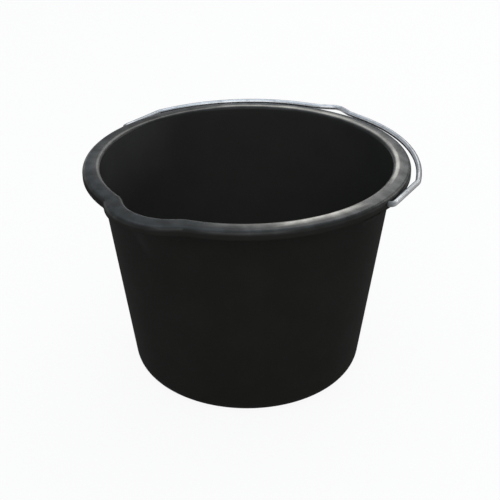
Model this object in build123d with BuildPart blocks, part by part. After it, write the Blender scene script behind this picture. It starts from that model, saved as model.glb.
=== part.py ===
"""Builders bucket: a moulded plastic body with a pouring spout, and a folding wire bail.

Millimetres. +Z is up, the origin is on the ground under the middle of the base, the spout points
along -Y and the bail's hinge line runs along X.
"""

import os
from math import asin, cos, degrees, radians, sin, sqrt, tan

from build123d import *

# Tub: base and tapered wall
height = 230.0  # top of the rim above the ground
wall_top_radius = 149.0  # outer face of the wall, carried up to the top of the rim
wall_base_radius = 119.5  # outer face of the wall, carried down to the ground
wall_thickness = 2.6  # measured level
base_thickness = 2.8
base_corner = 17.0  # outside rounding from base to wall
foot_recess = 2.0  # the middle of the base is raised, so that the bucket stands on a ring
foot_recess_radius = 94.0

# Rim: a level flange with a short lip turned down
rim_overhang = 15.2  # flange beyond the outer face of the wall
flange_thickness = 2.8
lip_depth = 9.5
lip_thickness = 2.6
rim_round = 4.5  # top edges of the flange, inside and outside

# Spout
spout_reach = 12.5  # the spout's wall stands this far outside the tub's wall at the rim
spout_radius = 52.0  # outer face of the spout's wall at the rim
spout_depth = 55.0  # where the spout has died away into the wall, below the rim
spout_corner = 15.0  # outside rounding where the spout leaves the wall
spout_overrun = 20.0  # the spout's cone is carried on this far inside the wall
notch_round = 8.0  # outer edge of the rim where it turns out along the spout

# Lugs that carry the bail
lug_width = 28.0
lug_face_drop = 10.5  # lower edge of the lug's outer face, below the top of the rim
lug_foot_drop = 26.0  # where the lug runs into the wall
lug_edge_round = 3.0
pivot_drop = 5.9  # hinge line below the top of the rim

# Wire bail: bends are radii of the wire's centre line, angles are in degrees
wire_diameter = 5.5
wire_end_chamfer = 0.5
hook_length = 12.0  # wire inside the lug
hook_bend = 3.8
leg_lean = 4.1  # the legs close in towards the shoulders
shoulder_reach = 55.0  # hinge line to the corner of the shoulder
shoulder_turn = 24.6  # way that the wire leaves the shoulder, against the folding direction
shoulder_bend = 14.0
shoulder_lead = 9.0  # from the shoulder's corner to the start of the crown's curve
flank_fall = 13.4  # slope of the crown's flanks, away from the kink
flank_outset = 2.1  # the flanks pass this far outside the rim's outer edge
kink_half_width = 19.0
kink_top_half_width = 3.6
kink_rise = 7.5
kink_foot_bend = 12.0
kink_top_bend = 7.0

# Clearances
hinge_clearance = 0.08  # wire in its lug hole, on the radius
hook_end_gap = 0.6  # end of the wire to the bottom of its hole
leg_gap = 1.2  # leg to the rim's outer edge, at the hinge line
rest_gap = 0.45  # folded bail to the rim beside it, before the tilt draws the wire in a little

rim_radius = wall_top_radius + rim_overhang
wall_slope = (wall_top_radius - wall_base_radius) / height
wire_radius = wire_diameter / 2
pivot_height = height - pivot_drop
spout_centre = wall_top_radius + spout_reach - spout_radius
spout_slope = spout_reach / spout_depth + wall_slope
spout_height = spout_depth + spout_overrun


def tapered_tub(inset, bottom, top, corner, seam_round):
    """Solid tub with its spout, inset level from the outer face of the wall."""
    bottom_radius = wall_base_radius + wall_slope * bottom - inset
    top_radius = wall_base_radius + wall_slope * top - inset
    spout_foot_radius = spout_radius - inset - spout_slope * spout_height
    spout_top_radius = spout_radius - inset + spout_slope * (top - height)
    with BuildPart() as tub:
        with BuildSketch(Plane.XZ):
            Polygon((0, bottom), (bottom_radius, bottom), (top_radius, top), (0, top), align=None)
        revolve(axis=Axis.Z)
        fillet(tub.faces().sort_by(Axis.Z)[0].edges(), corner)
        with BuildSketch(Plane((0, -spout_centre, height - spout_height))):
            Circle(spout_foot_radius)
        with BuildSketch(Plane((0, -spout_centre, top))):
            Circle(spout_top_radius)
        loft(ruled=True)
        plain = (GeomType.CIRCLE, GeomType.LINE)
        seam = tub.edges().filter_by(lambda edge: edge.geom_type not in plain)
        fillet(seam, seam_round)
    return tub.part


def rim_outline(inset):
    """Level outline of the rim, inset from its outer edge: tub, notch and spout arcs, tangent in turn."""
    main = rim_radius - inset
    spout = spout_radius + rim_overhang - inset
    notch = notch_round + inset
    spout_middle = Vector(0, -spout_centre)
    notch_y = ((spout + notch) ** 2 - (main + notch) ** 2 - spout_centre**2) / (2 * spout_centre)
    notch_middle = Vector(sqrt((main + notch) ** 2 - notch_y**2), notch_y)
    leave = notch_middle * (main / (main + notch))
    join = spout_middle + (notch_middle - spout_middle) * (spout / (spout + notch))
    with BuildSketch() as outline:
        with BuildLine():
            ThreePointArc((0, main), (main, 0), leave)
            RadiusArc(leave, join, -notch)
            RadiusArc(join, (0, -spout_centre - spout), spout)
            mirror(about=Plane.YZ)
        make_face()
    return outline.sketch


outside = tapered_tub(0, 0, height - flange_thickness / 2, base_corner, spout_corner)
inside = tapered_tub(
    wall_thickness,
    foot_recess + base_thickness,
    height + flange_thickness,
    base_corner - wall_thickness,
    spout_corner + wall_thickness,
)

# Lugs: gussets that fill the rim's channel at both ends of the hinge line
lug_foot_radius = wall_top_radius - wall_slope * lug_foot_drop
lug_root_radius = lug_foot_radius - wall_thickness
with BuildPart() as lugs:
    with BuildSketch(Plane.XZ):
        Polygon(
            (lug_root_radius, height - flange_thickness / 2),
            (rim_radius, height - flange_thickness / 2),
            (rim_radius, height - lug_face_drop),
            (lug_foot_radius, height - lug_foot_drop),
            (lug_root_radius, height - lug_foot_drop),
            align=None,
        )
    extrude(amount=lug_width / 2, both=True)
    slope = lugs.faces().sort_by(Axis.Z)[1]
    fillet(slope.edges().filter_by(Axis.Y, reverse=True), lug_edge_round)
    mirror(about=Plane.YZ)
    with BuildSketch(Plane.XY.offset(height - lug_foot_drop)):
        Circle(rim_radius)
    extrude(amount=lug_foot_drop, mode=Mode.INTERSECT)

# Blind holes for the wire's ends; each circle starts at its top, which may graze the rim's rounding
hole_depth = hook_length + hook_end_gap
with BuildPart() as hinge_holes:
    with BuildSketch(Plane((rim_radius - hole_depth, 0, pivot_height), x_dir=(0, 0, 1), z_dir=(1, 0, 0))):
        Circle(wire_radius + hinge_clearance)
    extrude(amount=hole_depth + leg_gap)
    mirror(about=Plane.YZ)

with BuildPart() as bucket_body:
    add(outside)
    with BuildSketch(Plane.XY.offset(height - lip_depth)):
        add(rim_outline(0))
        add(rim_outline(lip_thickness), mode=Mode.SUBTRACT)
    extrude(amount=lip_depth)
    with BuildSketch(Plane.XY.offset(height - flange_thickness)):
        add(rim_outline(0))
    extrude(amount=flange_thickness)
    add(lugs.part)
    add(inside, mode=Mode.SUBTRACT)
    flange_top = bucket_body.faces().filter_by(Axis.Z).sort_by(Axis.Z)[-1]
    fillet(flange_top.edges(), rim_round)
    add(hinge_holes.part, mode=Mode.SUBTRACT)
    with BuildSketch(Plane.XY):
        Circle(foot_recess_radius)
    extrude(amount=foot_recess, mode=Mode.SUBTRACT)
bucket_body.part.label = "bucket_body"

# Folded, the bail's flanks lean on the outer rounding of the rim, and that sets its tilt
fall_sin = sin(radians(flank_fall))
fall_cos = cos(radians(flank_fall))
flank_distance = rim_radius + flank_outset
contact_spread = rim_round + wire_radius + rest_gap
contact_lift = sqrt(contact_spread**2 - (rim_round + flank_outset) ** 2) - rim_round
rest_tilt = degrees(asin((pivot_drop + contact_lift) / (flank_distance * fall_cos)))

# Corners of the wire's centre line, right half: x along the hinge line, y away from it
leg_offset = rim_radius + leg_gap + wire_radius
shoulder = Vector(leg_offset - shoulder_reach * tan(radians(leg_lean)), shoulder_reach)
kink_foot = Vector(kink_half_width, (flank_distance - kink_half_width * fall_sin) / fall_cos)
crown_turn = radians(90 - flank_fall - shoulder_turn)
shoulder_run = (shoulder - kink_foot).cross(Vector(fall_cos, -fall_sin)).Z / sin(crown_turn)
crown_corner = shoulder + Vector(0, shoulder_run).rotate(Axis.Z, shoulder_turn)
crown_radius = (shoulder_run - shoulder_lead) / tan(crown_turn / 2)
right_half = [
    (rim_radius - hook_length, 0),
    (leg_offset, 0),
    (shoulder.X, shoulder.Y),
    (crown_corner.X, crown_corner.Y),
    (kink_foot.X, kink_foot.Y),
    (kink_top_half_width, kink_foot.Y + kink_rise),
]
left_half = [(-x, y) for x, y in reversed(right_half)]
bends = [hook_bend, shoulder_bend, crown_radius, kink_foot_bend, kink_top_bend]

with BuildPart() as wire_bail:
    with BuildLine(Plane((0, 0, pivot_height)).rotated((rest_tilt, 0, 0))) as centre_line:
        FilletPolyline(*right_half, *left_half, radius=bends + bends[::-1])
    with BuildSketch(Plane(centre_line.line @ 0, z_dir=centre_line.line % 0)):
        Circle(wire_radius)
    sweep()
    chamfer(wire_bail.faces().filter_by(GeomType.PLANE).edges(), wire_end_chamfer)
wire_bail.part.label = "wire_bail"

os.makedirs("parts", exist_ok=True)
for piece in (bucket_body.part, wire_bail.part):
    export_step(piece, f"parts/{piece.label}.step")
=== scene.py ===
"""Black builders bucket with a pouring spout and a folding wire bail.

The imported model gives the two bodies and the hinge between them. Both of its nodes are shown by
finer surfaces of the same sizes: the moulded tub is one closed skin of rows round the bucket's
axis, and the bail is a round section carried along its bent centre line. Metres, +Z up, the
spout towards -Y and the hinge line along X.
"""

import logging
import math
from dataclasses import dataclass
from enum import Enum

import bpy
import numpy as np
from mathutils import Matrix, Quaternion, Vector


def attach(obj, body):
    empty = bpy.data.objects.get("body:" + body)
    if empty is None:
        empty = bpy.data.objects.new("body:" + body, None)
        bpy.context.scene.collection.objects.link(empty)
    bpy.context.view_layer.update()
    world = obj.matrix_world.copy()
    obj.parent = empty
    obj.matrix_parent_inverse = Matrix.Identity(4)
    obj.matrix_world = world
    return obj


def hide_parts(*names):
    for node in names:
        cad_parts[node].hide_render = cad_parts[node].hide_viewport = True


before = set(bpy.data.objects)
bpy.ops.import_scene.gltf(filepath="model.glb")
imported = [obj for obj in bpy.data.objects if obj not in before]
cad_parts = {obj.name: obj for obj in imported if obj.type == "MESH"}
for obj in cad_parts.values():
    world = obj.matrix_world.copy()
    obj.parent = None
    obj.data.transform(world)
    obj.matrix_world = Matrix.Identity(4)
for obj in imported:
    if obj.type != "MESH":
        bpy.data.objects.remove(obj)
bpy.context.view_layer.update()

LOG = logging.getLogger("builders_bucket")
MM = 0.001
QUARTER_TURN = 0.5 * math.pi
FULL_TURN = 2.0 * math.pi

Array = np.ndarray
Rows = tuple[Array, Array, Array]
Colour = tuple[float, float, float]
Triple = tuple[float, float, float]

X_AXIS: Triple = (1.0, 0.0, 0.0)
Y_AXIS: Triple = (0.0, 1.0, 0.0)
Z_AXIS: Triple = (0.0, 0.0, 1.0)


class Body(Enum):
    """The bodies that pieces ride on."""

    BUCKET = "bucket"
    BAIL = "bail"


class Slot(Enum):
    """Names of the material slots."""

    MOULDING = "moulding"
    WIRE = "wire"


class OverRim:
    """Places over the rim, as the tub's attribute counts them from the outside to the inside."""

    OUTSIDE = 0.0
    LIP = 0.12
    FLAT = 1.0
    INNER_EDGE = 2.0
    INNER_WALL = 3.0
    FLOOR = 4.0
    FLOOR_MIDDLE = 5.0


def smooth_step(low: float, high: float, value: Array) -> Array:
    """Cubic step, 3t^2 - 2t^3 of the clamped share of the way from low to high.

    Args:
        low: Value at which the step starts from 0.
        high: Value at which it reaches 1.
        value: Values to step.

    Returns:
        The step at each value.
    """
    share = np.clip((value - low) / (high - low), 0.0, 1.0)
    return share * share * (3.0 - 2.0 * share)


def soft_maximum(first: Array, second: Array, reach: Array) -> Array:
    """The larger of two values, with a parabola through the corner where they cross.

    max(a, b) + reach / 4 * h^2, where h falls from 1 at the crossing to 0 where they differ by reach.

    Args:
        first: First values.
        second: Second values.
        reach: Difference at which the corner is no longer felt.

    Returns:
        The blended maximum.
    """
    near = np.clip(1.0 - np.abs(first - second) / reach, 0.0, 1.0)
    return np.maximum(first, second) + 0.25 * reach * near * near


def spread(start: float, end: float, count: int) -> Array:
    """Evenly spread values from start to end, as a column that broadcasts over a row of angles."""
    return np.linspace(start, end, count)[:, None]


def between(start: float, end: float, count: int) -> Array:
    """Evenly spread values between start and end, without these two, as a column."""
    return spread(start, end, count + 2)[1:-1]


def change_round(values: Array) -> Array:
    """Central change from column to column of a row of angles or radii that closes on itself."""
    return np.gradient(np.unwrap(np.concatenate([values[-2:], values, values[:2]])))[2:-2]


def ring_faces(rows: int, columns: int) -> list[list[int]]:
    """Quads of a grid whose columns close on themselves, with a fan at each end.

    Vertex 0 is the first pole, then come rows x columns grid vertices, then the last pole.

    Args:
        rows: Number of rows between the poles.
        columns: Number of columns round the grid.

    Returns:
        Vertex numbers of each face, counter-clockwise seen from outside.
    """
    here = np.arange(columns)
    after = (here + 1) % columns
    row = 1 + columns * np.arange(rows - 1)[:, None]
    quads = np.stack(
        [row + here, row + after, row + columns + after, row + columns + here], axis=-1
    ).reshape(-1, 4)
    last_pole = 1 + rows * columns
    last_row = 1 + (rows - 1) * columns
    first_fan = np.stack([np.zeros_like(here), 1 + after, 1 + here], axis=-1)
    last_fan = np.stack([last_row + here, last_row + after, np.full_like(here, last_pole)], axis=-1)
    return quads.tolist() + first_fan.tolist() + last_fan.tolist()


def skin_object(name: str, points: Array, faces: list[list[int]]) -> bpy.types.Object:
    """A smooth-shaded mesh object at the origin.

    Args:
        name: Name of the piece.
        points: Vertex positions, one per line.
        faces: Vertex numbers of each face.

    Returns:
        The new object, linked to the scene.
    """
    mesh = bpy.data.meshes.new(name)
    mesh.from_pydata(points, [], faces)
    mesh.polygons.foreach_set("use_smooth", np.ones(len(mesh.polygons), dtype=bool))
    mesh.update()
    piece = bpy.data.objects.new(name, mesh)
    bpy.context.scene.collection.objects.link(piece)
    return piece


def closed_skin(
    name: str, first: Triple | Array, grid: Array, last: Triple | Array
) -> bpy.types.Object:
    """A closed skin: rows of a grid that close on themselves, with a pole at each end.

    Args:
        name: Name of the piece.
        first: Place of the first pole.
        grid: Vertex positions by row and column.
        last: Place of the last pole.

    Returns:
        The new object, linked to the scene.
    """
    points = np.concatenate([[first], grid.reshape(-1, 3), [last]])
    return skin_object(name, points, ring_faces(*grid.shape[:2]))


@dataclass(frozen=True)
class Step:
    """A smooth step: from start to end while a value goes from low to high."""

    low: float
    high: float
    start: float = 0.0
    end: float = 1.0


@dataclass(frozen=True)
class Pattern:
    """A soft noise: its cells per metre, its octaves, and how each axis is scaled first, if it is."""

    cells: float
    octaves: float
    scale: Triple | None = None


class Value:
    """A number socket whose operators add Math nodes to its tree."""

    def __init__(self, recipe: "Recipe", socket: bpy.types.NodeSocket) -> None:
        """Wraps a socket of a recipe's tree."""
        self.recipe = recipe
        self.socket = socket

    def _maths(self, operation: str, first: "Value | float", second: "Value | float") -> "Value":
        """One Math node on two operands."""
        made = self.recipe.node("ShaderNodeMath", {"operation": operation}, {0: first, 1: second})
        return Value(self.recipe, made.outputs[0])

    def __add__(self, other: "Value | float") -> "Value":
        """Sum."""
        return self._maths("ADD", self, other)

    def __radd__(self, other: float) -> "Value":
        """Sum with a number on the left."""
        return self._maths("ADD", other, self)

    def __sub__(self, other: "Value | float") -> "Value":
        """Difference."""
        return self._maths("SUBTRACT", self, other)

    def __rsub__(self, other: float) -> "Value":
        """Difference from a number."""
        return self._maths("SUBTRACT", other, self)

    def __mul__(self, other: "Value | float") -> "Value":
        """Product."""
        return self._maths("MULTIPLY", self, other)

    def __rmul__(self, other: float) -> "Value":
        """Product with a number on the left."""
        return self._maths("MULTIPLY", other, self)

    def through(self, step: Step) -> "Value":
        """The value carried through a smooth step.

        Args:
            step: The step.

        Returns:
            The stepped value.
        """
        made = self.recipe.node(
            "ShaderNodeMapRange",
            {"interpolation_type": "SMOOTHSTEP"},
            {
                "Value": self,
                "From Min": step.low,
                "From Max": step.high,
                "To Min": step.start,
                "To Max": step.end,
            },
        )
        return Value(self.recipe, made.outputs["Result"])


class Recipe:
    """The node tree of one material or world, built node by node."""

    def __init__(self, owner: bpy.types.ID) -> None:
        """Empties the owner's node tree and keeps it.

        Args:
            owner: Material or world whose tree is built.
        """
        owner.use_nodes = True
        self.tree = owner.node_tree
        self.tree.nodes.clear()

    def node(
        self, kind: str, settings: dict[str, object] | None = None, sockets: dict | None = None
    ) -> bpy.types.Node:
        """One node with its settings, then the values or links of its sockets.

        Args:
            kind: Blender's type name of the node.
            settings: Node settings, set before the sockets.
            sockets: Input names or numbers with a number, a colour, a Value or a socket to link.

        Returns:
            The node.
        """
        made = self.tree.nodes.new(kind)
        for name, setting in (settings or {}).items():
            setattr(made, name, setting)
        for key, given in (sockets or {}).items():
            socket = given.socket if isinstance(given, Value) else given
            if isinstance(socket, bpy.types.NodeSocket):
                self.tree.links.new(socket, made.inputs[key])
            else:
                made.inputs[key].default_value = socket
        return made

    def value(self, node: bpy.types.Node, output: str | int = 0) -> Value:
        """An output of a node, as a Value."""
        return Value(self, node.outputs[output])

    def noise(self, where: bpy.types.NodeSocket, pattern: Pattern) -> Value:
        """Soft noise from 0 to 1.

        Args:
            where: Position vector.
            pattern: The noise's cells, octaves and scale.

        Returns:
            The noise's value.
        """
        if pattern.scale:
            mapping = self.node("ShaderNodeMapping", None, {"Vector": where, "Scale": pattern.scale})
            where = mapping.outputs[0]
        sockets = {"Vector": where, "Scale": pattern.cells, "Detail": pattern.octaves}
        return self.value(self.node("ShaderNodeTexNoise", None, sockets), "Fac")

    def towards(self, where: bpy.types.NodeSocket, way: Triple) -> Value:
        """How far a position lies along a way from the origin."""
        made = self.node("ShaderNodeVectorMath", {"operation": "DOT_PRODUCT"}, {0: where, 1: way})
        return self.value(made, "Value")

    def blend(
        self,
        share: Value,
        first: Colour | bpy.types.NodeSocket,
        second: Colour | bpy.types.NodeSocket,
    ) -> bpy.types.NodeSocket:
        """Mix of two colours.

        Args:
            share: 0 for the first colour, 1 for the second.
            first: Colour or colour socket.
            second: Colour or colour socket.

        Returns:
            The mixed colour's socket.
        """
        colours = [c if isinstance(c, bpy.types.NodeSocket) else (*c, 1.0) for c in (first, second)]
        made = self.node(
            "ShaderNodeMix", {"data_type": "RGBA"}, {0: share, 6: colours[0], 7: colours[1]}
        )
        return made.outputs[2]

    def relief(self, strength: float, depth: float, height: Value) -> bpy.types.NodeSocket:
        """The surface's normal, tilted by a height that goes from 0 to the depth."""
        sockets = {"Strength": strength, "Distance": depth, "Height": height}
        return self.node("ShaderNodeBump", None, sockets).outputs[0]

    def show(self, shader: bpy.types.Node) -> None:
        """Makes a shader the material's surface."""
        self.node("ShaderNodeOutputMaterial", None, {"Surface": shader.outputs[0]})


@dataclass(frozen=True)
class HighlightPlace:
    """A stretch of the rim's inner edge with a painted highlight, a pale colour standing in for the
    edge's highlight.

    The way points to it from the bucket's axis, the strength is the painted highlight's strength at its
    middle, and the reach is the share of it which spreads from the edge over the rim's flat. It fades to
    nothing where the edge lies only fades_at along the way.
    """

    way: Triple
    strength: float
    reach: float
    fades_at: float


@dataclass(frozen=True)
class MouldedPlastic:
    """Black moulded polyethylene: dull on the wall, glossier and scuffed on the rim, with a painted
    highlight on the rim's inner edge and a paler inside, partly dust and partly painted light.

    Steps over the rim count as OverRim does, steps to a side or along a way are in metres from the
    bucket's axis, and the steps of clouds, patches, breaks, scuffs and mottle are values of a noise.
    """

    name: str = "black_polyethylene"
    over_rim: str = "over_rim"

    # Colours
    black: Colour = (0.0126, 0.0121, 0.0104)
    clouded: Colour = (0.0143, 0.0137, 0.0118)
    scuffed: Colour = (0.045, 0.044, 0.043)
    # Pale warm colour of the painted highlight on the rim's inner edge
    painted_highlight: Colour = (0.65, 0.592, 0.515)
    # Paler colour of the inside: partly dust, partly painted light that lifts the inside's shade
    dust_and_painted_light: Colour = (0.0462, 0.0447, 0.0419)

    # Noises
    clouds: Pattern = Pattern(26.0, 4.0)
    patches: Pattern = Pattern(75.0, 3.0)
    stretches: Pattern = Pattern(15.0, 2.0)
    streaks: Pattern = Pattern(420.0, 2.0, (1.0, 1.0, 0.07))
    fine: Pattern = Pattern(900.0, 2.0, (1.0, 1.0, 2.6))
    grain: Pattern = Pattern(2600.0, 2.0)
    waves: Pattern = Pattern(48.0, 2.0)

    # Where the rim's glossier skin lies, and where it is dull
    right_side: Step = Step(-0.06, -0.01)
    left_start: Step = Step(0.25, 0.95)
    right_start: Step = Step(0.0, 0.75)
    rim_end: Step = Step(2.4, 2.95, 1.0, 0.0)
    dull_way: Triple = (-0.985, 0.174, 0.0)
    dull_side: Step = Step(0.12, 0.155, 1.0, 0.6)

    # Gloss and roughness
    specular: float = 0.0
    wall_gloss: float = 0.035
    rim_gloss: float = 0.95
    gloss_roughness: float = 0.26
    mottle: Step = Step(0.3, 0.7, 0.6, 1.0)
    # Less gloss where the painted highlight lies
    scuff_dulling: float = 0.35
    highlight_dulling: float = 0.6
    roughness: float = 0.5
    rim_roughness: float = 0.4
    cloud_roughness: float = 0.14
    streak_roughness: float = 0.05
    scuff_roughness: float = 0.16

    # Relief
    relief_strength: float = 0.35
    relief_depth: float = 0.6 * MM
    grain_relief: float = 0.045
    wave_relief: float = 0.9
    streak_relief: float = 0.03
    scuff_relief: float = 0.05

    # Painted highlight on the rim's inner edge, given as a pale colour
    edge: Step = Step(1.67, 1.89)
    flat: Step = Step(1.2, 1.9)
    edge_end: Step = Step(2.0, 2.3, 1.0, 0.0)
    line_start: Step = Step(1.93, 2.12)
    line_end: Step = Step(2.2, 2.45, 1.0, 0.0)
    past_spout: Step = Step(-0.14, -0.105)
    line_highlight: float = 0.28
    flat_highlight: float = 0.06
    flat_breaks: Step = Step(0.35, 0.65, 0.75, 1.0)
    long_breaks: Step = Step(0.38, 0.56, 0.7, 1.0)
    short_breaks: Step = Step(0.35, 0.6, 0.8, 1.0)
    fine_breaks: Step = Step(0.35, 0.65, 0.8, 1.0)
    highlight_middle: float = 0.1505
    # Places round the inner edge where the painted highlight is strongest
    highlight_places: tuple[HighlightPlace, ...] = (
        HighlightPlace((0.903, -0.431, 0.0), 1.25, 0.75, 0.144),
        HighlightPlace((0.669, -0.743, 0.0), 0.34, 0.7, 0.1405),
        HighlightPlace((0.866, 0.5, 0.0), 1.1, 0.1, 0.1415),
        HighlightPlace((0.469, 0.883, 0.0), 0.45, 0.35, 0.1405),
        HighlightPlace((-0.087, 0.996, 0.0), 1.15, 0.9, 0.1415),
        HighlightPlace((-0.53, 0.848, 0.0), 0.9, 0.05, 0.1405),
    )

    # Clouds, scuffs, and the paler inside: partly dust, partly painted light
    clouding: Step = Step(0.35, 0.75)
    scuff_lines: Step = Step(0.6, 0.72)
    scuff_patches: Step = Step(0.42, 0.7)
    wall_scuffs: float = 0.2
    rim_scuffs: float = 0.7
    foot_scuffs: float = 0.75
    foot: Step = Step(0.0, 12.0 * MM, 1.0, 0.0)
    paling_start: Step = Step(2.5, 3.1, 0.0, 0.45)
    paling_depth: Step = Step(3.1, 4.1, 0.0, 0.5)
    # A painted lit patch high on the inside's left wall, where light falls
    lit_patch_way: Triple = (-0.97, -0.24, 0.0)
    lit_patch_side: Step = Step(0.112, 0.148)
    lit_patch_start: Step = Step(2.7, 3.0)
    lit_patch_end: Step = Step(3.03, 3.36, 0.55, 0.0)
    least_paling: float = 0.8
    clouded_paling: float = 0.4

    def _rim(self, recipe: Recipe, place: bpy.types.NodeSocket, over: Value) -> Value:
        """Share of the rim's glossier skin, which starts lower on the lip on the right side.

        Args:
            recipe: Recipe of the material.
            place: Position on the tub.
            over: How far over the rim.

        Returns:
            The share, 1 on the flat and 0 on the wall.
        """
        right = recipe.towards(place, X_AXIS).through(self.right_side)
        start = over.through(self.left_start) * (1.0 - right) + over.through(self.right_start) * right
        return start * over.through(self.rim_end)

    def _painted_highlight(
        self, recipe: Recipe, place: bpy.types.NodeSocket, over: Value, patches: Value, fine: Value
    ) -> Value:
        """How far the rim has the painted highlight, a pale colour standing in for the inner edge's
        highlight.

        A thin painted highlight runs along the inner edge all along except at the spout. At the
        highlight places more of the edge is painted, and it spreads over the flat. Slow and finer noise
        break it up.

        Args:
            recipe: Recipe of the material.
            place: Position on the tub.
            over: How far over the rim.
            patches: Noise by centimetres.
            fine: Noise by millimetres.

        Returns:
            The share of the painted highlight's colour.
        """
        within = over.through(self.edge_end)
        edge = over.through(self.edge) * within
        spill = over.through(self.flat) * patches.through(self.flat_breaks) * within
        line = over.through(self.line_start) * over.through(self.line_end)
        past_spout = recipe.towards(place, Y_AXIS).through(self.past_spout)
        # Painted highlight: a thin pale line along the inner edge, wider at the highlight places
        painted_highlight = past_spout * (self.line_highlight * line + self.flat_highlight * spill)
        for highlight_place in self.highlight_places:
            near = recipe.towards(place, highlight_place.way).through(Step(highlight_place.fades_at, self.highlight_middle))
            reach = highlight_place.reach * near * near
            painted_highlight = painted_highlight + highlight_place.strength * near * (edge + reach * (spill - edge))
        broken = recipe.noise(place, self.stretches).through(self.long_breaks)
        broken = broken * patches.through(self.short_breaks) * fine.through(self.fine_breaks)
        return painted_highlight * broken

    def _dust_and_painted_light(
        self, recipe: Recipe, place: bpy.types.NodeSocket, over: Value, clouds: Value
    ) -> Value:
        """How far the inside is paler, partly dust and partly painted light: more towards the bottom,
        and a painted lit patch high on the left.

        Args:
            recipe: Recipe of the material.
            place: Position on the tub.
            over: How far over the rim.
            clouds: Noise by tens of millimetres.

        Returns:
            The share of the paler inside's colour.
        """
        painted_lit_patch = recipe.towards(place, self.lit_patch_way).through(self.lit_patch_side)
        painted_lit_patch = painted_lit_patch * over.through(self.lit_patch_start) * over.through(self.lit_patch_end)
        paling = over.through(self.paling_start) + over.through(self.paling_depth) + painted_lit_patch
        return paling * (self.least_paling + self.clouded_paling * clouds)

    def material(self) -> bpy.types.Material:
        """The plastic's material.

        The mesh says how far over the rim each point lies. Clouds vary the black by tens of
        millimetres, fine streaks run up the wall with the flow of the melt, and scuffs gather on the
        rim and the foot. The rim's inner edge has a painted highlight, a pale warm colour, its left side
        is duller than the rest, and the inside is paler: partly dust, partly painted light, with a
        painted lit patch high on the left. The surface has a fine mould grain and a slow waviness.

        Returns:
            The material.
        """
        made = bpy.data.materials.new(self.name)
        recipe = Recipe(made)
        place = recipe.node("ShaderNodeTexCoord").outputs["Object"]
        over = recipe.value(recipe.node("ShaderNodeAttribute", {"attribute_name": self.over_rim}), "Fac")
        clouds = recipe.noise(place, self.clouds)
        patches = recipe.noise(place, self.patches)
        streaks = recipe.noise(place, self.streaks)
        fine = recipe.noise(place, self.fine)
        rim = self._rim(recipe, place, over)
        foot = recipe.towards(place, Z_AXIS).through(self.foot)
        # Painted highlight on the rim's inner edge
        painted_highlight = self._painted_highlight(recipe, place, over, patches, fine)
        scuffs = fine.through(self.scuff_lines) * patches.through(self.scuff_patches)
        scuffs = scuffs * (self.wall_scuffs + self.rim_scuffs * rim + self.foot_scuffs * foot)
        body = recipe.blend(clouds.through(self.clouding), self.black, self.clouded)
        # Paler inside: partly dust, partly painted light
        body = recipe.blend(self._dust_and_painted_light(recipe, place, over, clouds), body, self.dust_and_painted_light)
        body = recipe.blend(scuffs, body, self.scuffed)
        roughness = (
            self.roughness
            + (self.rim_roughness - self.roughness) * rim
            + self.cloud_roughness * (clouds - 0.5)
            + self.streak_roughness * (streaks - 0.5)
            + self.scuff_roughness * scuffs
        )
        shine = rim * patches.through(self.mottle)
        shine = shine * (1.0 - self.scuff_dulling * scuffs) * (1.0 - self.highlight_dulling * painted_highlight)
        shine = shine * recipe.towards(place, self.dull_way).through(self.dull_side)
        relief = (
            self.grain_relief * recipe.noise(place, self.grain)
            + self.wave_relief * recipe.noise(place, self.waves)
            + self.streak_relief * streaks
            - self.scuff_relief * scuffs
        )
        shader = recipe.node(
            "ShaderNodeBsdfPrincipled",
            None,
            {
                "Base Color": recipe.blend(painted_highlight, body, self.painted_highlight),
                "Roughness": roughness,
                "Specular IOR Level": self.specular,
                "Coat Weight": self.wall_gloss + (self.rim_gloss - self.wall_gloss) * shine,
                "Coat Roughness": self.gloss_roughness,
                "Normal": recipe.relief(self.relief_strength, self.relief_depth, relief),
            },
        )
        recipe.show(shader)
        return made


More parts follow.
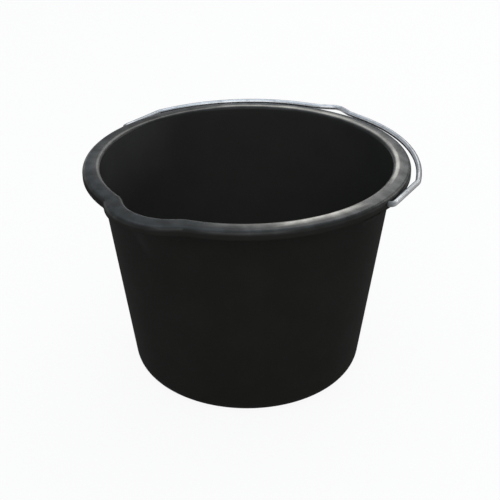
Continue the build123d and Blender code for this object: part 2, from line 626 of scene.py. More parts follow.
@dataclass(frozen=True)
class GalvanisedWire:
    """Bright galvanised wire: zinc with faint spangle and drawn lines, dull in patches and on the legs,
    with painted shade on its ends.

    Steps of legs and of the ends' painted shade are metres from the wire's nearer end, and the others
    values of a noise.
    """

    name: str = "galvanised_wire"
    coordinates: str = "straightened"
    bright: Colour = (0.67, 0.675, 0.685)
    dull: Colour = (0.43, 0.435, 0.445)
    # Painted shade: a near-black colour on the wire's ends where they go into the lugs
    end_shade: Colour = (0.035, 0.034, 0.031)
    edge: Colour = (0.02, 0.02, 0.025)
    drawn: Pattern = Pattern(2600.0, 2.0, (0.03, 1.0, 1.0))
    patches: Pattern = Pattern(130.0, 3.0)
    crystal_cells: float = 520.0
    dull_patches: Step = Step(0.4, 0.75, 0.0, 0.55)
    dull_lines: Step = Step(0.4, 0.7, 0.0, 0.25)
    dull_crystals: float = 0.2
    dull_legs: float = 0.85
    leg_start: Step = Step(24.0 * MM, 36.0 * MM)
    leg_end: Step = Step(60.0 * MM, 75.0 * MM, 1.0, 0.0)
    end_shading: Step = Step(12.5 * MM, 20.5 * MM, 0.85, 0.0)
    end_shade_wander: float = 6.0 * MM
    roughness: float = 0.26
    dull_roughness: float = 0.16
    line_roughness: float = 0.06
    end_shade_roughness: float = 0.3
    relief_strength: float = 0.25
    relief_depth: float = 0.1 * MM
    patch_relief: float = 0.3

    def material(self) -> bpy.types.Material:
        """The wire's material, read from the straightened wire's own coordinates.

        Lines from drawing run along it, dull patches and small zinc crystals vary the grey, the legs
        are duller than the crown, and painted shade darkens its ends, where they go into the lugs.

        Returns:
            The material.
        """
        made = bpy.data.materials.new(self.name)
        recipe = Recipe(made)
        straightened = recipe.node("ShaderNodeAttribute", {"attribute_name": self.coordinates})
        place = straightened.outputs["Vector"]
        from_end = recipe.towards(place, X_AXIS)
        drawn = recipe.noise(place, self.drawn)
        patches = recipe.noise(place, self.patches)
        crystals = {"Vector": place, "Scale": self.crystal_cells}
        spangle = recipe.node("ShaderNodeTexVoronoi", None, crystals)
        shades = recipe.node("ShaderNodeSeparateColor", None, {0: spangle.outputs["Color"]})
        legs = from_end.through(self.leg_start) * from_end.through(self.leg_end)
        dulled = patches.through(self.dull_patches) + drawn.through(self.dull_lines)
        dulled = dulled + self.dull_crystals * recipe.value(shades)
        dulled = dulled + self.dull_legs * legs * (1.0 - dulled)
        # Painted shade on the ends: dark and not metal where they go into the lugs
        end_shading = (from_end + self.end_shade_wander * (patches - 0.5)).through(self.end_shading)
        zinc = recipe.blend(dulled, self.bright, self.dull)
        roughness = (
            self.roughness
            + self.dull_roughness * dulled
            + self.line_roughness * (drawn - 0.5)
            + self.end_shade_roughness * end_shading
        )
        relief = drawn + self.patch_relief * patches
        shader = recipe.node(
            "ShaderNodeBsdfPrincipled",
            None,
            {
                "Base Color": recipe.blend(end_shading, zinc, self.end_shade),
                "Metallic": 1.0 - end_shading,
                "Roughness": roughness,
                "Specular Tint": (*self.edge, 1.0),
                "Normal": recipe.relief(self.relief_strength, self.relief_depth, relief),
            },
        )
        recipe.show(shader)
        return made


@dataclass(frozen=True)
class PaleFloor:
    """Pale studio floor, shown white, that keeps the bucket's soft shadow."""

    name: str = "pale_floor"
    colour: Colour = (0.86, 0.86, 0.86)
    white: Colour = (1.0, 1.0, 1.0)
    shown_white: Step = Step(0.0, 1.0, 0.0, 0.92)

    def material(self) -> bpy.types.Material:
        """The floor's material: most of what is seen directly, in metal or through glass is plain white.

        Returns:
            The material.
        """
        made = bpy.data.materials.new(self.name)
        recipe = Recipe(made)
        path = recipe.node("ShaderNodeLightPath")
        seen = (
            recipe.value(path, "Is Camera Ray")
            + recipe.value(path, "Is Glossy Ray")
            + recipe.value(path, "Is Transmission Ray")
        )
        matt = recipe.node("ShaderNodeBsdfDiffuse", None, {"Color": (*self.colour, 1.0)})
        white = recipe.node("ShaderNodeEmission", None, {"Color": (*self.white, 1.0), "Strength": 1.0})
        mixed = recipe.node(
            "ShaderNodeMixShader",
            None,
            {0: seen.through(self.shown_white), 1: matt.outputs[0], 2: white.outputs[0]},
        )
        recipe.show(mixed)
        return made


@dataclass(frozen=True)
class RowCounts:
    """How many rows of vertices the stretches of the tub's profile have."""

    pip: int = 3
    small_round: int = 5
    underside: int = 9
    foot_ring: int = 4
    base_corner: int = 18
    wall: int = 28
    upper_wall: int = 14
    channel: int = 6
    lip_inside: int = 5
    lip_outside: int = 7
    rim_round: int = 10
    flat: int = 8
    inner_wall: int = 32
    floor_corner: int = 14
    floor: int = 10


@dataclass
class Tub:
    """The moulded body: base, tapered wall, spout, rim with its lip, and the two bail lugs.

    Spans, steps and gaps of columns and the sharp angle are in degrees, margins are shares of a width.
    """

    # Base and wall
    height: float = 230.0 * MM
    wall_top_radius: float = 149.0 * MM
    wall_base_radius: float = 119.5 * MM
    wall_thickness: float = 2.6 * MM
    base_thickness: float = 2.8 * MM
    base_corner: float = 17.0 * MM
    foot_recess: float = 2.0 * MM
    foot_recess_radius: float = 94.0 * MM
    foot_edge: float = 0.9 * MM

    # Gate mark: a dimple under the base with a pip in its middle
    gate_radius: float = 5.0 * MM
    gate_flank: float = 1.5 * MM
    gate_depth: float = 0.5 * MM
    pip_radius: float = 1.6 * MM
    pip_inner: float = 0.56 * MM
    pip_flank: float = 0.5 * MM
    pip_sink: float = 0.1 * MM

    # Rim and lip
    rim_overhang: float = 15.2 * MM
    flange_thickness: float = 2.8 * MM
    lip_depth: float = 9.5 * MM
    lip_thickness: float = 2.6 * MM
    lip_edge: float = 0.9 * MM
    rim_round: float = 4.5 * MM
    crown_fall: float = 0.6 * MM
    channel_round: float = 1.2 * MM

    # Spout
    spout_reach: float = 12.5 * MM
    spout_radius: float = 52.0 * MM
    spout_depth: float = 55.0 * MM
    spout_corner: float = 15.0 * MM
    notch_round: float = 8.0 * MM

    # Lugs and hinge holes
    lug_width: float = 28.0 * MM
    lug_face_drop: float = 10.5 * MM
    lug_foot_drop: float = 26.0 * MM
    lug_edge: float = 3.0 * MM
    pivot_drop: float = 5.9 * MM
    hole_radius: float = 2.83 * MM
    hole_depth: float = 12.6 * MM
    hole_lead_in: float = 0.35 * MM
    hole_overcut: float = 0.1 * MM
    cutter_reach: float = 2.0 * MM
    hole_sides: int = 48

    # Spacing of the skin's rows and columns
    rows: RowCounts = RowCounts()
    row_gap: float = 1.0 * MM
    fine_gap: float = 0.4 * MM
    lip_gap: float = 0.6 * MM
    lip_face_gap: float = 1.6 * MM
    floor_inner: float = 3.0 * MM
    channel_margin: float = 0.1
    flat_margin: float = 0.06
    lug_span: float = 7.0
    lug_step: float = 0.25
    spout_span: float = 32.0
    spout_step: float = 0.5
    plain_step: float = 1.25
    span_gap: float = 0.2
    least_cosine: float = 0.3
    sharp_angle: float = 50.0

    finish: MouldedPlastic = MouldedPlastic()

    def __post_init__(self) -> None:
        """Sizes that follow from the others, and the columns of the skin."""
        self.wall_slope = (self.wall_top_radius - self.wall_base_radius) / self.height
        self.wall_lean = math.atan(self.wall_slope)
        self.spout_slope = self.spout_reach / self.spout_depth + self.wall_slope
        self.spout_centre = self.wall_top_radius + self.spout_reach - self.spout_radius
        self.rim_radius = self.wall_top_radius + self.rim_overhang
        self.flange_under = self.height - self.flange_thickness
        self.lip_bottom = self.height - self.lip_depth
        self.lug_foot = self.height - self.lug_foot_drop
        self.pivot_height = self.height - self.pivot_drop
        self.floor_height = self.foot_recess + self.base_thickness
        self.turn = self._columns()

    def _columns(self) -> Array:
        """Angles of the columns: close together at the lugs and the spout, wider elsewhere.

        Returns:
            The angles in radians from +X, in order round the axis.
        """
        lug = np.radians(np.arange(-self.lug_span, self.lug_span, self.lug_step))
        spout = np.radians(np.arange(-self.spout_span, self.spout_span, self.spout_step)) - QUARTER_TURN
        plain = np.radians(np.arange(-180.0, 180.0, self.plain_step))
        past_lugs = np.abs(np.sin(plain)) > math.sin(math.radians(self.lug_span + self.span_gap))
        past_spout = np.sin(plain) > -math.cos(math.radians(self.spout_span + self.span_gap))
        angles = np.concatenate([lug, lug + np.pi, spout, plain[past_lugs & past_spout]])
        return np.sort(np.mod(angles, FULL_TURN))

    def _crossing(self, main: Array, spout: Array) -> Array:
        """Squared slope between two level circles where they cross, by the cosine rule.

        Args:
            main: Radius of the circle round the bucket's axis.
            spout: Radius of the circle round the spout's axis.

        Returns:
            The squared tangent of the angle between them, 0 where they don't cross.
        """
        cosine = (main**2 + spout**2 - self.spout_centre**2) / (2.0 * main * spout)
        return 1.0 / np.clip(cosine, self.least_cosine, 1.0) ** 2 - 1.0

    def _outline(self, main: Array, spout: Array, reach: Array) -> Array:
        """Polar radius of two level circles run together.

        The spout's circle of radius r lies off the axis by s. At the angle f from -Y its far side is at
        s cos(f) + sqrt(r^2 - s^2 sin(f)^2).

        Args:
            main: Radius of the circle round the bucket's axis.
            spout: Radius of the circle round the spout's axis.
            reach: Reach of the rounding where they cross.

        Returns:
            Radius at each column.
        """
        aside = self.spout_centre * np.cos(self.turn)
        ahead = -self.spout_centre * np.sin(self.turn)
        chord = np.clip(spout, 0.0, None) ** 2 - aside**2
        far_side = ahead + np.sqrt(np.clip(chord, 0.0, None))
        bulge = np.where((chord > 0.0) & (ahead > 0.0), far_side, 0.0)
        return soft_maximum(main, bulge, reach)

    def wall(self, level: Array, inset: float = 0.0) -> Array:
        """Radius of the tub's wall with its spout: two cones, cut level at each height.

        The reach of the rounding between them is half its radius times the square of the change of
        slope, which makes the soft maximum as round there as an arc of that radius.

        Args:
            level: Heights, broadcast over the columns.
            inset: How far inside the outer face.

        Returns:
            Radius at each height and column.
        """
        main = self.wall_base_radius + self.wall_slope * level - inset
        spout = self.spout_radius - inset - self.spout_slope * (self.height - level)
        steepness = self._crossing(main, np.maximum(spout, MM))
        steepness = steepness + (self.spout_slope - self.wall_slope) ** 2
        return self._outline(main, spout, 0.5 * (self.spout_corner + inset) * steepness)

    def rim(self, inset: Array | float = 0.0) -> Array:
        """Radius of the rim's outer edge: the wall's two circles at the top, wider by the overhang.

        Args:
            inset: Level distance inside the edge.

        Returns:
            Radius at each inset and column.
        """
        main = self.rim_radius - np.asarray(inset)
        spout = self.spout_radius + self.rim_overhang - np.asarray(inset)
        reach = 0.5 * (self.notch_round + inset) * self._crossing(main, spout)
        return self._outline(main, spout, reach)

    def _level(
        self, radius: Array | float, height: Array | float, over: Array | float = OverRim.OUTSIDE
    ) -> Rows:
        """Rows as full arrays, one line per row.

        Args:
            radius: Distance from the axis.
            height: Height above the ground.
            over: How far over the rim the rows lie.

        Returns:
            Radius, height and place over the rim, at each row and column.
        """
        shape = np.broadcast_shapes(np.shape(radius), np.shape(height), (1, len(self.turn)))
        return tuple(np.broadcast_to(given, shape) for given in (radius, height, over))

    def _corner_centre(self, inset: float, bottom: float, radius: float) -> float:
        """Distance from the axis of a base corner's centre: tangent to the bottom and to the wall."""
        face = self.wall_base_radius - inset + self.wall_slope * (bottom + radius)
        return face - radius * math.hypot(1.0, self.wall_slope)

    def _foot_rows(self) -> list[Rows]:
        """Underside from the gate mark out to the foot ring, and the corner up to the wall.

        The gate mark's flank is a quarter of an ellipse, the recess steps down to the ring in two
        quarter circles, and the corner is an arc tangent to the ground and the wall.

        Returns:
            The rows, from the middle outwards.
        """
        raised, inner, edge = self.foot_recess, self.foot_recess_radius, self.foot_edge
        gap = self.row_gap
        turn = spread(0.0, QUARTER_TURN, self.rows.small_round)
        late, early = 1.0 - np.sin(turn), 1.0 - np.cos(turn)
        centre = self._corner_centre(0.0, 0.0, self.base_corner)
        corner = spread(-QUARTER_TURN, -self.wall_lean, self.rows.base_corner)
        underside = spread(self.gate_radius + gap, inner - 2.0 * gap, self.rows.underside)
        ring = spread(inner + 2.0 * gap, centre - gap, self.rows.foot_ring)
        return [
            self._level(spread(self.pip_inner, self.pip_radius, self.rows.pip), raised + self.pip_sink),
            self._level(self.pip_radius + self.pip_flank, raised + self.gate_depth),
            self._level(
                self.gate_radius - self.gate_flank * late, raised + self.gate_depth * np.cos(turn)
            ),
            self._level(underside, raised),
            self._level(inner - edge * late, raised - edge * early),
            self._level(inner + edge * early, edge * late),
            self._level(ring, 0.0),
            self._level(
                centre + self.base_corner * np.cos(corner), self.base_corner * (1.0 + np.sin(corner))
            ),
        ]

    def _wall_rows(self) -> Rows:
        """Outer face of the wall from the base corner up to the foot of the lugs.

        Returns:
            The rows, upwards.
        """
        corner_end = self.base_corner * (1.0 - math.sin(self.wall_lean))
        levels = between(corner_end, self.lug_foot, self.rows.wall)
        return self._level(self.wall(levels), levels)

    def _channel_rows(self) -> Rows:
        """Upper wall, underside of the flange and inside of the lip, bridged by the lugs.

        Between the lugs' sides the rows are carried over to a straight slope from the wall to the
        lower edge of the rim, by their share of the channel's length.

        Returns:
            The rows, up the wall, outwards and down the lip.
        """
        soft, edge, foot = self.channel_round, self.lip_edge, self.lug_foot
        top = self.flange_under
        round_start = top - soft
        turn = spread(0.0, QUARTER_TURN, self.rows.small_round)
        late, early = 1.0 - np.sin(turn), 1.0 - np.cos(turn)
        wall_end = self.wall(np.array([[round_start]]))
        lip_face = self.rim(self.lip_thickness)
        levels = spread(foot, round_start - self.fine_gap, self.rows.upper_wall)
        across = spread(self.channel_margin, 1.0 - self.channel_margin, self.rows.channel)
        lip_end = self.lip_bottom + edge + self.fine_gap
        rows = [
            self._level(self.wall(levels), levels),
            self._level(wall_end + soft * early, round_start + soft * np.sin(turn)),
            self._level((wall_end + soft) * (1.0 - across) + (lip_face - soft) * across, top),
            self._level(lip_face - soft * late, round_start + soft * np.cos(turn)),
            self._level(lip_face, spread(round_start - self.lip_gap, lip_end, self.rows.lip_inside)),
            self._level(self.rim(self.lip_thickness - edge * early), self.lip_bottom + edge * late),
            self._level(self.rim(edge * late), self.lip_bottom + edge * early),
        ]
        radius, height, _ = (np.concatenate(arrays) for arrays in zip(*rows))
        steps = np.hypot(np.diff(radius, axis=0), np.diff(height, axis=0))
        along = np.concatenate([np.zeros((1, radius.shape[1])), np.cumsum(steps, axis=0)])
        along /= along[-1]
        slope_radius = radius[0] + (radius[-1] - radius[0]) * along
        slope_height = foot + (self.height - self.lug_face_drop - foot) * along
        aside = np.abs(radius * np.sin(self.turn))
        half_width = 0.5 * self.lug_width
        filled = 1.0 - smooth_step(half_width - self.lug_edge, half_width, aside)
        return self._level(
            radius + filled * (slope_radius - radius), height + filled * (slope_height - height)
        )

    def _mouth(self) -> tuple[Array, Array, Array]:
        """The inner wall where the rim's inner rounding meets it.

        The skew is the length of a step along a column for each step square to the wall, which is
        more than 1 beside the spout. The lean is the wall's outward slope square to itself.

        Returns:
            Radius, skew and lean at each column.
        """
        shoulder = self.height - self.rim_round
        radius = self.wall(np.array([[shoulder]]), self.wall_thickness)
        below = self.wall(np.array([[shoulder - MM]]), self.wall_thickness)
        skew = np.hypot(1.0, change_round(radius[0]) / change_round(self.turn) / radius)
        return radius, skew, (radius - below) / MM / skew

    def _rim_rows(self) -> list[Rows]:
        """Outer face of the lip and the rounded rim, to the top of the inner wall.

        Both roundings are arcs of the same size. The flat between them is a parabola that is level at
        its inner edge and falls outwards, and the outer arc is tangent to it.

        Returns:
            The rows, upwards and inwards.
        """
        size, count = self.rim_round, self.rows.rim_round
        mouth, skew, lean = self._mouth()
        flat_width = self.rim_overhang + self.wall_thickness - 2.0 * size
        roll = QUARTER_TURN - math.atan(2.0 * self.crown_fall / flat_width)
        outer_foot = self.height - self.crown_fall - size * math.sin(roll)
        outer_turn = spread(0.0, roll, count)
        inner_end = np.arctan(lean)
        inner_turn = inner_end + (QUARTER_TURN - inner_end) * spread(1.0, 0.0, count)
        middle = size * np.hypot(1.0, lean)
        across = spread(self.flat_margin, 1.0 - self.flat_margin, self.rows.flat)
        outer_edge = self.rim(size * (1.0 - math.cos(roll)))
        inner_edge = mouth + skew * middle
        lip_start, lip_end = self.lip_bottom + self.lip_face_gap, outer_foot - self.fine_gap
        return [
            self._level(self.rim(), spread(lip_start, lip_end, self.rows.lip_outside), OverRim.LIP),
            self._level(
                self.rim(size * (1.0 - np.cos(outer_turn))),
                outer_foot + size * np.sin(outer_turn),
                spread(OverRim.LIP, OverRim.FLAT, count),
            ),
            self._level(
                outer_edge * (1.0 - across) + inner_edge * across,
                self.height - self.crown_fall * (1.0 - across) ** 2,
                OverRim.FLAT + across,
            ),
            self._level(
                mouth + skew * (middle - size * np.cos(inner_turn)),
                self.height - size + size * np.sin(inner_turn),
                spread(OverRim.INNER_EDGE, OverRim.INNER_WALL, count),
            ),
        ]

    def _inside_rows(self) -> list[Rows]:
        """Inner wall from the rim down, the corner's arc and the floor.

        Returns:
            The rows, downwards and inwards.
        """
        lean = self._mouth()[2]
        top = self.height - self.rim_round + self.rim_round * np.sin(np.arctan(lean))
        size = self.base_corner - self.wall_thickness
        centre = self._corner_centre(self.wall_thickness, self.floor_height, size)
        turn = spread(-self.wall_lean, -QUARTER_TURN, self.rows.floor_corner)
        corner_top = self.floor_height + size * (1.0 - math.sin(self.wall_lean))
        drop = between(0.0, 1.0, self.rows.inner_wall)
        levels = top + (corner_top - top) * drop
        return [
            self._level(self.wall(levels, self.wall_thickness), levels, OverRim.INNER_WALL + drop),
            self._level(
                centre + size * np.cos(turn),
                self.floor_height + size * (1.0 + np.sin(turn)),
                OverRim.FLOOR,
            ),
            self._level(
                spread(centre - self.row_gap, self.floor_inner, self.rows.floor),
                self.floor_height,
                spread(OverRim.FLOOR, OverRim.FLOOR_MIDDLE, self.rows.floor),
            ),
        ]

    def _skin(self) -> bpy.types.Object:
        """The closed skin, without the hinge holes.

        Each row is a radius and a height at every column: x = r cos(t), y = r sin(t), z = h.

        Returns:
            The skin's object.
        """
        rows = [
            *self._foot_rows(),
            self._wall_rows(),
            self._channel_rows(),
            *self._rim_rows(),
            *self._inside_rows(),
        ]
        radius, height, over = (np.concatenate(arrays) for arrays in zip(*rows))
        grid = np.stack([radius * np.cos(self.turn), radius * np.sin(self.turn), height], axis=-1)
        under = (0.0, 0.0, self.foot_recess + self.pip_sink)
        inside = (0.0, 0.0, self.floor_height)
        skin = closed_skin("moulded_tub", under, grid, inside)
        kept = skin.data.attributes.new(self.finish.over_rim, "FLOAT", "POINT")
        places = np.concatenate([[OverRim.OUTSIDE], over.ravel(), [OverRim.FLOOR_MIDDLE]])
        kept.data.foreach_set("value", places.astype(np.float32))
        return skin

    def _hole_cutter(self, side: float) -> bpy.types.Object:
        """A hinge hole's shape: a round pin along X with a flared mouth.

        Args:
            side: 1 for the hole at +X, -1 for the one at -X.

        Returns:
            The cutter's object.
        """
        rim, over = self.rim_radius, self.hole_overcut
        flare = self.hole_radius + self.hole_lead_in + over
        reach = side * np.array(
            [rim - self.hole_depth, rim - self.hole_lead_in, rim + over, rim + self.cutter_reach]
        )
        sizes = np.array([self.hole_radius, self.hole_radius, flare, flare])[:, None]
        turn = np.linspace(0.0, FULL_TURN, self.hole_sides, endpoint=False)
        grid = np.empty((len(reach), len(turn), 3))
        grid[..., 0] = reach[:, None]
        grid[..., 1] = side * sizes * np.cos(turn)
        grid[..., 2] = self.pivot_height + sizes * np.sin(turn)
        bottom = (reach[0], 0.0, self.pivot_height)
        mouth = (reach[-1], 0.0, self.pivot_height)
        name = "hole_cutter_right" if side > 0.0 else "hole_cutter_left"
        return closed_skin(name, bottom, grid, mouth)

    def build(self) -> bpy.types.Object:
        """The tub's skin with both hinge holes cut.

        Returns:
            The tub.
        """
        tub = self._skin()
        cutters = [self._hole_cutter(side) for side in (1.0, -1.0)]
        for cutter in cutters:
            cut = tub.modifiers.new(cutter.name, "BOOLEAN")
            cut.operation = "DIFFERENCE"
            cut.solver = "EXACT"
            cut.object = cutter
        graph = bpy.context.evaluated_depsgraph_get()
        finished = bpy.data.meshes.new_from_object(tub.evaluated_get(graph))
        plain = tub.data
        tub.modifiers.clear()
        tub.data = finished
        finished.name = plain.name
        bpy.data.meshes.remove(plain)
        for cutter in cutters:
            bpy.data.meshes.remove(cutter.data)
        finished.set_sharp_from_angle(angle=math.radians(self.sharp_angle))
        return tub

    def dress(self, tub: bpy.types.Object) -> None:
        """Gives the tub its finish, its body and the node it stands for.

        Args:
            tub: The tub's object.
        """
        tub.data.materials.clear()
        tub.data.materials.append(self.finish.material())
        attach(tub, Body.BUCKET.value)
        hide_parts("bucket_body")


@dataclass
class Bail:
    """The folded wire handle: hook ends, leaning legs, shoulders, curved crown and middle kink.

    It takes the hinge line and the rim that it lies on from the tub. Angles are in degrees, and bends
    are radii of the wire's centre line.
    """

    tub: Tub
    wire_radius: float = 2.75 * MM
    end_chamfer: float = 0.5 * MM
    hook_length: float = 12.0 * MM
    hook_bend: float = 3.8 * MM
    leg_gap: float = 1.2 * MM
    leg_lean: float = 4.1
    shoulder_reach: float = 55.0 * MM
    shoulder_turn: float = 24.6
    shoulder_bend: float = 14.0 * MM
    shoulder_lead: float = 9.0 * MM
    flank_fall: float = 13.4
    flank_outset: float = 2.1 * MM
    kink_half_width: float = 19.0 * MM
    kink_top_half_width: float = 3.6 * MM
    kink_rise: float = 7.5 * MM
    kink_foot_bend: float = 12.0 * MM
    kink_top_bend: float = 7.0 * MM
    rest_gap: float = 0.45 * MM
    sides: int = 28
    bend_step: float = 2.5
    fewest_bend_points: int = 5
    sharp_angle: float = 35.0
    finish: GalvanisedWire = GalvanisedWire()

    def rest_tilt(self) -> float:
        """Tilt of the folded bail, whose flanks lean on the rim's outer rounding.

        The wire's centre stands off the rounding's centre by both radii and the gap. Its height over
        the hinge line, divided by its distance from that line, is the sine of the tilt.

        Returns:
            The angle in radians.
        """
        size = self.tub.rim_round
        reach = size + self.wire_radius + self.rest_gap
        lift = math.sqrt(reach**2 - (size + self.flank_outset) ** 2) - size
        fall = math.radians(self.flank_fall)
        distance = (self.tub.rim_radius + self.flank_outset) * math.cos(fall)
        return math.asin((self.tub.pivot_drop + lift) / distance)

    def corners(self) -> tuple[Array, Array]:
        """Corners of the centre line in the bail's own plane, x along the hinge line.

        The crown's corner is where the line that leaves the shoulder meets the flank's line, and the
        crown's bend is as large as the shoulder's lead lets it be.

        Returns:
            The corners from the right end to the left end, and the bend radius at each inner corner.
        """
        fall = math.radians(self.flank_fall)
        way = math.radians(self.shoulder_turn)
        leg = self.tub.rim_radius + self.leg_gap + self.wire_radius
        inwards = self.shoulder_reach * math.tan(math.radians(self.leg_lean))
        shoulder = np.array([leg - inwards, self.shoulder_reach])
        flank = self.tub.rim_radius + self.flank_outset
        foot_y = (flank - self.kink_half_width * math.sin(fall)) / math.cos(fall)
        foot = np.array([self.kink_half_width, foot_y])
        crown = QUARTER_TURN - fall - way
        gap = shoulder - foot
        run = (-gap[0] * math.sin(fall) - gap[1] * math.cos(fall)) / math.sin(crown)
        peak = shoulder + run * np.array([-math.sin(way), math.cos(way)])
        crown_bend = (run - self.shoulder_lead) / math.tan(0.5 * crown)
        right = np.array(
            [
                (self.tub.rim_radius - self.hook_length, 0.0),
                (leg, 0.0),
                shoulder,
                peak,
                foot,
                (self.kink_top_half_width, foot_y + self.kink_rise),
            ]
        )
        left = right[::-1] * np.array([-1.0, 1.0])
        bends = [self.hook_bend, self.shoulder_bend, crown_bend, self.kink_foot_bend, self.kink_top_bend]
        return np.concatenate([right, left]), np.array(bends + bends[::-1])

    def centre_line(self) -> Array:
        """Points along the bent centre line.

        Each corner is replaced by the arc that touches both of its runs: its ends lie
        r tan(turn / 2) from the corner, and points go round its centre in small steps.

        Returns:
            Points in the bail's plane, in order.
        """
        corners, bends = self.corners()
        first_way = self._unit(corners[1] - corners[0])
        last_way = self._unit(corners[-1] - corners[-2])
        pieces = [corners[:1], corners[:1] + self.end_chamfer * first_way]
        for before, corner, after, bend in zip(corners, corners[1:], corners[2:], bends):
            come, leave = self._unit(corner - before), self._unit(after - corner)
            turn = math.atan2(come[0] * leave[1] - come[1] * leave[0], float(come @ leave))
            side = math.copysign(1.0, turn) * np.array([-come[1], come[0]])
            start = corner - come * bend * math.tan(0.5 * abs(turn))
            count = max(self.fewest_bend_points, int(abs(turn) / math.radians(self.bend_step)))
            steps = np.linspace(0.0, abs(turn), count)
            arc = np.outer(np.sin(steps), come) + np.outer(1.0 - np.cos(steps), side)
            pieces.append(start + bend * arc)
        pieces += [corners[-1:] - self.end_chamfer * last_way, corners[-1:]]
        return np.concatenate(pieces)

    @staticmethod
    def _unit(vector: Array) -> Array:
        """The vector at length 1."""
        return vector / np.linalg.norm(vector)

    def build(self) -> bpy.types.Object:
        """The wire: a circle carried along the centre line.

        The ring at each point spans the plane's normal and the line's own normal in the plane. The
        straightened wire's coordinates are kept on the vertices: length from the nearer end, then the
        place in the section.

        Returns:
            The wire.
        """
        line = self.centre_line()
        way = np.gradient(line, axis=0)
        way /= np.linalg.norm(way, axis=1, keepdims=True)
        tilt = self.rest_tilt()
        across = np.array(X_AXIS)
        along = np.array([0.0, math.cos(tilt), math.sin(tilt)])
        normal = np.array([0.0, -math.sin(tilt), math.cos(tilt)])
        centre = self.tub.pivot_height * np.array(Z_AXIS) + line[:, :1] * across + line[:, 1:] * along
        aside = -way[:, 1:] * across + way[:, :1] * along
        radius = np.full((len(line), 1), self.wire_radius)
        radius[[0, -1]] -= self.end_chamfer
        turn = np.linspace(0.0, FULL_TURN, self.sides, endpoint=False)
        flat_x, flat_y = radius * np.cos(turn), radius * np.sin(turn)
        grid = centre[:, None] + flat_x[..., None] * aside[:, None] + flat_y[..., None] * normal
        wire = closed_skin("galvanised_bail", centre[0], grid, centre[-1])
        length = np.concatenate([[0.0], np.cumsum(np.linalg.norm(np.diff(line, axis=0), axis=1))])
        length = np.minimum(length, length[-1] - length)[:, None]
        straight = np.stack(np.broadcast_arrays(length, flat_x, flat_y), axis=-1).reshape(-1, 3)
        end = np.zeros((1, 3))
        kept = wire.data.attributes.new(self.finish.coordinates, "FLOAT_VECTOR", "POINT")
        kept.data.foreach_set("vector", np.concatenate([end, straight, end]).astype(np.float32).ravel())
        wire.data.set_sharp_from_angle(angle=math.radians(self.sharp_angle))
        return wire

    def dress(self, wire: bpy.types.Object) -> None:
        """Gives the wire its finish, its body and the node it stands for.

        Args:
            wire: The wire's object.
        """
        wire.data.materials.append(self.finish.material())
        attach(wire, Body.BAIL.value)
        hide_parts("wire_bail")


@dataclass(frozen=True)
class Softbox:
    """A rectangular studio lamp that faces a point."""

    name: str
    place: Triple
    aim: Triple
    size: tuple[float, float]
    radiance: float
    colour: Colour

    def build(self) -> bpy.types.Object:
        """The lamp; its power is radiance x pi x area, and the camera doesn't see it.

        Returns:
            The lamp.
        """
        light = bpy.data.lights.new(self.name, "AREA")
        light.shape = "RECTANGLE"
        light.size, light.size_y = self.size
        light.energy = self.radiance * math.pi * self.size[0] * self.size[1]
        light.color = self.colour
        lamp = bpy.data.objects.new(self.name, light)
        lamp.location = self.place
        lamp.rotation_mode = "QUATERNION"
        lamp.rotation_quaternion = (Vector(self.aim) - Vector(self.place)).to_track_quat("-Z", "Y")
        lamp.visible_camera = False
        bpy.context.scene.collection.objects.link(lamp)
        return lamp


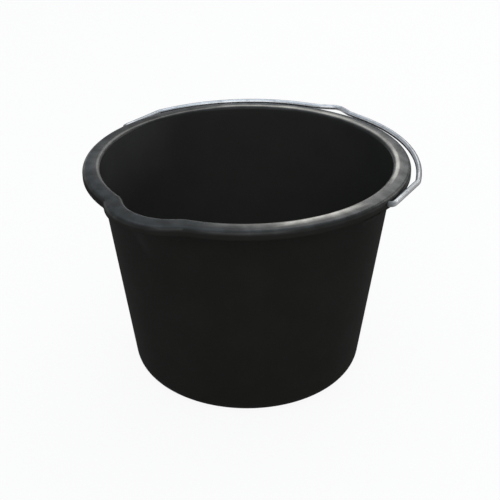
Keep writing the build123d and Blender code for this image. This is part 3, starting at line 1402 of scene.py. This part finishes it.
@dataclass
class Studio:
    """Floor, soft light and the camera at the photograph's viewing angle."""

    # Floor and backdrop
    floor_radius: float = 8.0
    cove_radius: float = 3.0
    cove_turn: float = 80.0
    floor_drop: float = 0.2 * MM
    floor_rows: int = 4
    cove_rows: int = 24
    floor_sides: int = 96

    # Light
    sky: Colour = (0.82, 0.91, 1.0)
    sky_strength: float = 0.52
    softboxes: tuple[Softbox, ...] = (
        Softbox(
            "back_softbox", (-0.50, 1.59, 1.47), (0.0, 0.0, 0.2), (1.1, 1.25), 1.5, (1.0, 0.98, 0.95)
        ),
        Softbox(
            "right_softbox", (0.70, 1.72, 1.19), (0.0, 0.0, 0.2), (0.8, 0.8), 2.0, (1.0, 0.96, 0.88)
        ),
        Softbox(
            "front_softbox", (1.2, -1.60, 1.75), (0.0, 0.0, 0.2), (2.2, 2.2), 1.2, (1.0, 1.0, 1.0)
        ),
        Softbox(
            "top_softbox", (-0.3, 0.4, 2.7), (0.0, 0.0, 0.0), (3.0, 3.0), 0.75, (0.76, 0.88, 1.0)
        ),
    )

    # Camera: lens and sensor in millimetres, roll in degrees
    camera_place: Triple = (0.56037, -0.74393, 0.62462)
    view_way: Triple = (-0.55861, 0.68129, -0.47307)
    camera_roll: float = -1.451
    lens_shift: float = 0.0801
    lens: float = 72.0
    sensor: float = 36.0
    nearest: float = 0.01
    farthest: float = 100.0

    def build_floor(self) -> bpy.types.Object:
        """A round floor whose edge curves up into a low backdrop on all sides.

        The profile is level as far as the floor's radius and then follows the cove's arc,
        r = floor + cove sin(a) and z = cove (1 - cos(a)), and is carried round the Z axis.

        Returns:
            The floor.
        """
        bend = np.linspace(0.0, math.radians(self.cove_turn), self.cove_rows)
        level = np.arange(1, self.floor_rows) / self.floor_rows * self.floor_radius
        radius = np.concatenate([level, self.floor_radius + self.cove_radius * np.sin(bend)])
        height = np.concatenate([np.zeros_like(level), self.cove_radius * (1.0 - np.cos(bend))])
        turn = np.linspace(FULL_TURN, 0.0, self.floor_sides, endpoint=False)
        grid = np.empty((len(radius), len(turn), 3))
        grid[..., 0] = radius[:, None] * np.cos(turn)
        grid[..., 1] = radius[:, None] * np.sin(turn)
        grid[..., 2] = height[:, None]
        points = np.concatenate([np.zeros((1, 3)), grid.reshape(-1, 3)]) - (0.0, 0.0, self.floor_drop)
        without_top = ring_faces(len(radius), len(turn))[: -len(turn)]
        floor = skin_object("studio_floor", points, without_top)
        floor.data.materials.append(PaleFloor().material())
        return floor

    def build_light(self) -> None:
        """An even sky and the softboxes."""
        world = bpy.data.worlds.new("studio_sky")
        recipe = Recipe(world)
        sky = recipe.node(
            "ShaderNodeBackground", None, {"Color": (*self.sky, 1.0), "Strength": self.sky_strength}
        )
        recipe.node("ShaderNodeOutputWorld", None, {"Surface": sky.outputs[0]})
        bpy.context.scene.world = world
        for softbox in self.softboxes:
            softbox.build()

    def build_camera(self) -> bpy.types.Object:
        """The camera, with the lens, roll and sideways lens shift that fit the photograph.

        Returns:
            The camera, which the scene renders from.
        """
        data = bpy.data.cameras.new("photo_camera")
        data.lens = self.lens
        data.sensor_width = self.sensor
        data.shift_x = self.lens_shift
        data.clip_start, data.clip_end = self.nearest, self.farthest
        camera = bpy.data.objects.new("photo_camera", data)
        camera.location = self.camera_place
        camera.rotation_mode = "QUATERNION"
        roll = Quaternion(Z_AXIS, math.radians(self.camera_roll))
        camera.rotation_quaternion = Vector(self.view_way).to_track_quat("-Z", "Y") @ roll
        bpy.context.scene.collection.objects.link(camera)
        bpy.context.scene.camera = camera
        return camera


def write_sizes() -> None:
    """Updates the view layer."""
    bpy.context.view_layer.update()


def main() -> None:
    """Builds the bucket, the bail and the studio, and reports each piece."""
    logging.basicConfig(level=logging.INFO, format="%(name)s: %(message)s")
    bpy.context.scene.view_settings.view_transform = "Standard"
    tub = Tub()
    for assembly in (tub, Bail(tub)):
        piece = assembly.build()
        assembly.dress(piece)
        LOG.info("%s: %d faces", piece.name, len(piece.data.polygons))
    studio = Studio()
    studio.build_floor()
    studio.build_light()
    studio.build_camera()
    write_sizes()


if __name__ == "__main__":
    main()
